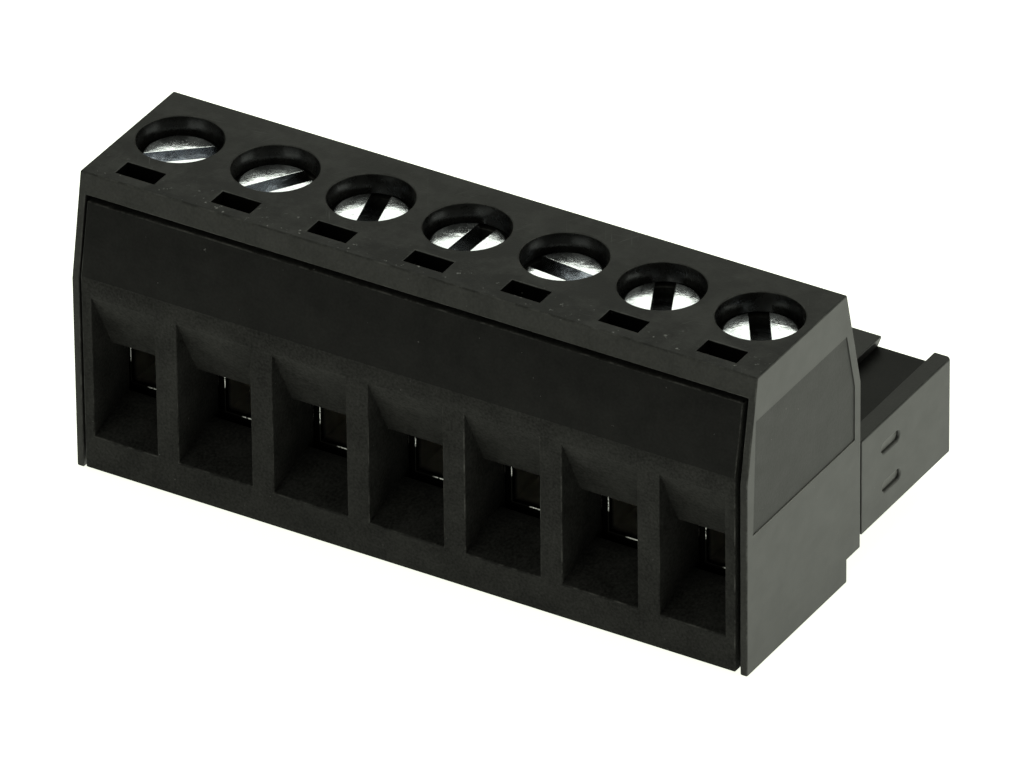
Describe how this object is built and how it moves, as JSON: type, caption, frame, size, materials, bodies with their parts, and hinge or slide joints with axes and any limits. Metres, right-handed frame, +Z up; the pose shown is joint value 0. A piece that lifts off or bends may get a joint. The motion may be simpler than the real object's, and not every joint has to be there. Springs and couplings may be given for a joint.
{
  "type": "pluggable screw terminal block",
  "caption": "Pluggable terminal block, cable half: a black moulded row with wire windows in front, slotted clamp screws in holes on top and a plug nose with key grooves behind.",
  "frame": {"origin": "under the middle of the whole part's bounding box, on the surface it stands on", "axes": "+X along the row of poles, +Y from the wire windows towards the plug nose, +Z up towards the screws"},
  "size_m": [0.0354, 0.0192, 0.0154],
  "materials": {
    "housing_plastic": "black glass-filled nylon, satin, faintly grained",
    "insert_plastic": "black glass-filled nylon, smooth upper panel, grained lower face",
    "zinc_screw": "bright zinc plated steel",
    "plated_cage": "nickel plated steel",
    "tinned_contact": "tin plated copper alloy"
  },
  "bodies": {
    "housing": {"housing": "housing_plastic", "wire_entry_insert": "insert_plastic", "socket_contact_1": "tinned_contact", "socket_contact_2": "tinned_contact", "socket_contact_3": "tinned_contact", "socket_contact_4": "tinned_contact", "socket_contact_5": "tinned_contact", "socket_contact_6": "tinned_contact", "socket_contact_7": "tinned_contact"},
    "screw_1": {"clamp_screw_1": "zinc_screw"},
    "screw_2": {"clamp_screw_2": "zinc_screw"},
    "screw_3": {"clamp_screw_3": "zinc_screw"},
    "screw_4": {"clamp_screw_4": "zinc_screw"},
    "screw_5": {"clamp_screw_5": "zinc_screw"},
    "screw_6": {"clamp_screw_6": "zinc_screw"},
    "screw_7": {"clamp_screw_7": "zinc_screw"},
    "cage_1": {"clamp_cage_1": "plated_cage"},
    "cage_2": {"clamp_cage_2": "plated_cage"},
    "cage_3": {"clamp_cage_3": "plated_cage"},
    "cage_4": {"clamp_cage_4": "plated_cage"},
    "cage_5": {"clamp_cage_5": "plated_cage"},
    "cage_6": {"clamp_cage_6": "plated_cage"},
    "cage_7": {"clamp_cage_7": "plated_cage"}
  },
  "joints": [
    {"name": "screw_1_turn", "type": "hinge", "parent": "housing", "child": "screw_1", "pos_m": [-0.01524, -0.00396, 0.014], "axis": [0, 0, -1], "range_deg": [0, 1921]},
    {"name": "cage_1_lift", "type": "slide", "parent": "housing", "child": "cage_1", "axis": [0, 0, 1], "range_m": [0, 0.0024]},
    {"name": "screw_2_turn", "type": "hinge", "parent": "housing", "child": "screw_2", "pos_m": [-0.01016, -0.00396, 0.014], "axis": [0, 0, -1], "range_deg": [0, 1921]},
    {"name": "cage_2_lift", "type": "slide", "parent": "housing", "child": "cage_2", "axis": [0, 0, 1], "range_m": [0, 0.0024]},
    {"name": "screw_3_turn", "type": "hinge", "parent": "housing", "child": "screw_3", "pos_m": [-0.00508, -0.00396, 0.014], "axis": [0, 0, -1], "range_deg": [0, 1921]},
    {"name": "cage_3_lift", "type": "slide", "parent": "housing", "child": "cage_3", "axis": [0, 0, 1], "range_m": [0, 0.0024]},
    {"name": "screw_4_turn", "type": "hinge", "parent": "housing", "child": "screw_4", "pos_m": [0, -0.00396, 0.014], "axis": [0, 0, -1], "range_deg": [0, 1921]},
    {"name": "cage_4_lift", "type": "slide", "parent": "housing", "child": "cage_4", "axis": [0, 0, 1], "range_m": [0, 0.0024]},
    {"name": "screw_5_turn", "type": "hinge", "parent": "housing", "child": "screw_5", "pos_m": [0.00508, -0.00396, 0.014], "axis": [0, 0, -1], "range_deg": [0, 1921]},
    {"name": "cage_5_lift", "type": "slide", "parent": "housing", "child": "cage_5", "axis": [0, 0, 1], "range_m": [0, 0.0024]},
    {"name": "screw_6_turn", "type": "hinge", "parent": "housing", "child": "screw_6", "pos_m": [0.01016, -0.00396, 0.014], "axis": [0, 0, -1], "range_deg": [0, 1921]},
    {"name": "cage_6_lift", "type": "slide", "parent": "housing", "child": "cage_6", "axis": [0, 0, 1], "range_m": [0, 0.0024]},
    {"name": "screw_7_turn", "type": "hinge", "parent": "housing", "child": "screw_7", "pos_m": [0.01524, -0.00396, 0.014], "axis": [0, 0, -1], "range_deg": [0, 1921]},
    {"name": "cage_7_lift", "type": "slide", "parent": "housing", "child": "cage_7", "axis": [0, 0, 1], "range_m": [0, 0.0024]}
  ],
  "couplings": [
    {"joint": "screw_1_turn", "follows": "cage_1_lift", "rad_per_m": 13963},
    {"joint": "screw_2_turn", "follows": "cage_2_lift", "rad_per_m": 13963},
    {"joint": "screw_3_turn", "follows": "cage_3_lift", "rad_per_m": 13963},
    {"joint": "screw_4_turn", "follows": "cage_4_lift", "rad_per_m": 13963},
    {"joint": "screw_5_turn", "follows": "cage_5_lift", "rad_per_m": 13963},
    {"joint": "screw_6_turn", "follows": "cage_6_lift", "rad_per_m": 13963},
    {"joint": "screw_7_turn", "follows": "cage_7_lift", "rad_per_m": 13963}
  ]
}
